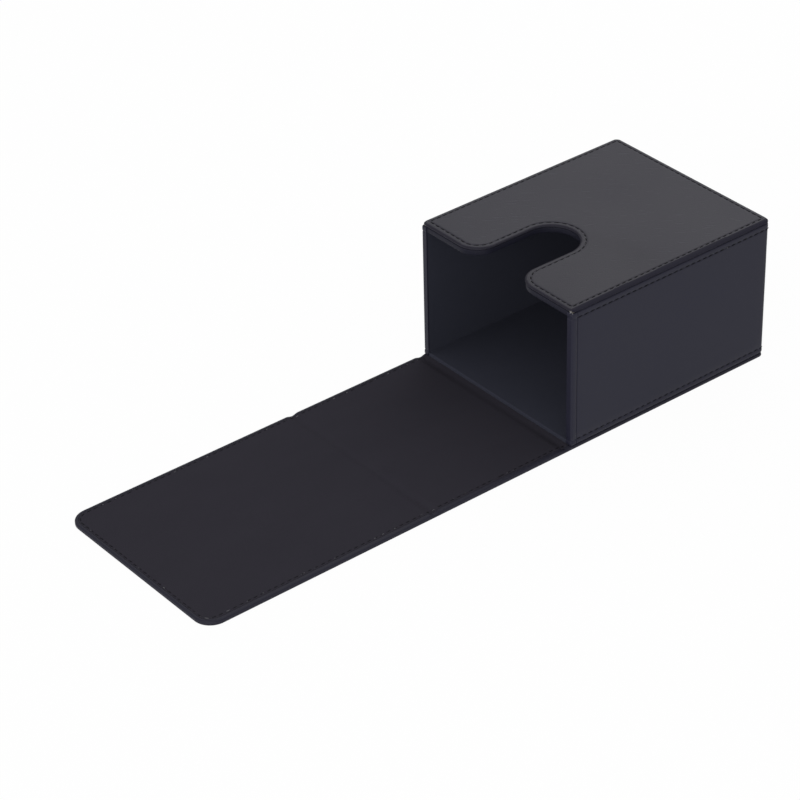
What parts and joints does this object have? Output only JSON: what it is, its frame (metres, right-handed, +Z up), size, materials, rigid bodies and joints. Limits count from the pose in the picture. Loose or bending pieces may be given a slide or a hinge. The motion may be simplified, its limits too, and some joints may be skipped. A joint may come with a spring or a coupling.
{
  "type": "photo storage box",
  "caption": "Open-mouthed leather-covered box for instant prints, with a thumb notch in its front and a wrap-around cover that folds over the mouth and front",
  "frame": {"origin": "on the underside, below the middle of the mouth", "axes": "+X across the box to the right as seen looking into the mouth, +Y from the mouth into the box, +Z up, from the back cover to the front panel; the cover lies open along -Y"},
  "size_m": [0.095, 0.2972, 0.0675],
  "materials": {
    "outer_leather": "black coated leather, satin, fine grain, stitched",
    "edge_leather": "black coated leather strip turned round the notch edge",
    "microfibre_lining": "black matte microfibre",
    "greyboard": "plain solid greyboard, hidden",
    "magnet_plating": "nickel plated, hidden"
  },
  "bodies": {
    "box": {"back_cover_leather": "outer_leather", "back_cover_board": "greyboard", "back_cover_lining": "microfibre_lining", "back_wall_board": "greyboard", "left_wall_board": "greyboard", "right_wall_board": "greyboard", "end_wall_board": "greyboard", "front_wall_board": "greyboard", "wall_wrap_leather": "outer_leather", "wall_lining": "microfibre_lining", "floor_lining": "microfibre_lining", "front_wall_lining": "microfibre_lining", "front_edge_binding": "edge_leather", "front_panel_leather": "outer_leather", "front_panel_board": "greyboard", "front_panel_magnets": "magnet_plating"},
    "spine": {"spine_leather": "outer_leather", "spine_board": "greyboard", "spine_lining": "microfibre_lining"},
    "flap": {"flap_leather": "outer_leather", "flap_board": "greyboard", "flap_lining": "microfibre_lining", "flap_magnets": "magnet_plating"}
  },
  "joints": [
    {"name": "spine_fold", "type": "hinge", "parent": "box", "child": "spine", "pos_m": [0, -0.0024, 0.0011], "axis": [-1, 0, 0], "range_deg": [0, 90]},
    {"name": "flap_fold", "type": "hinge", "parent": "spine", "child": "flap", "pos_m": [0, -0.0722, 0.0011], "axis": [-1, 0, 0], "range_deg": [0, 90]}
  ]
}
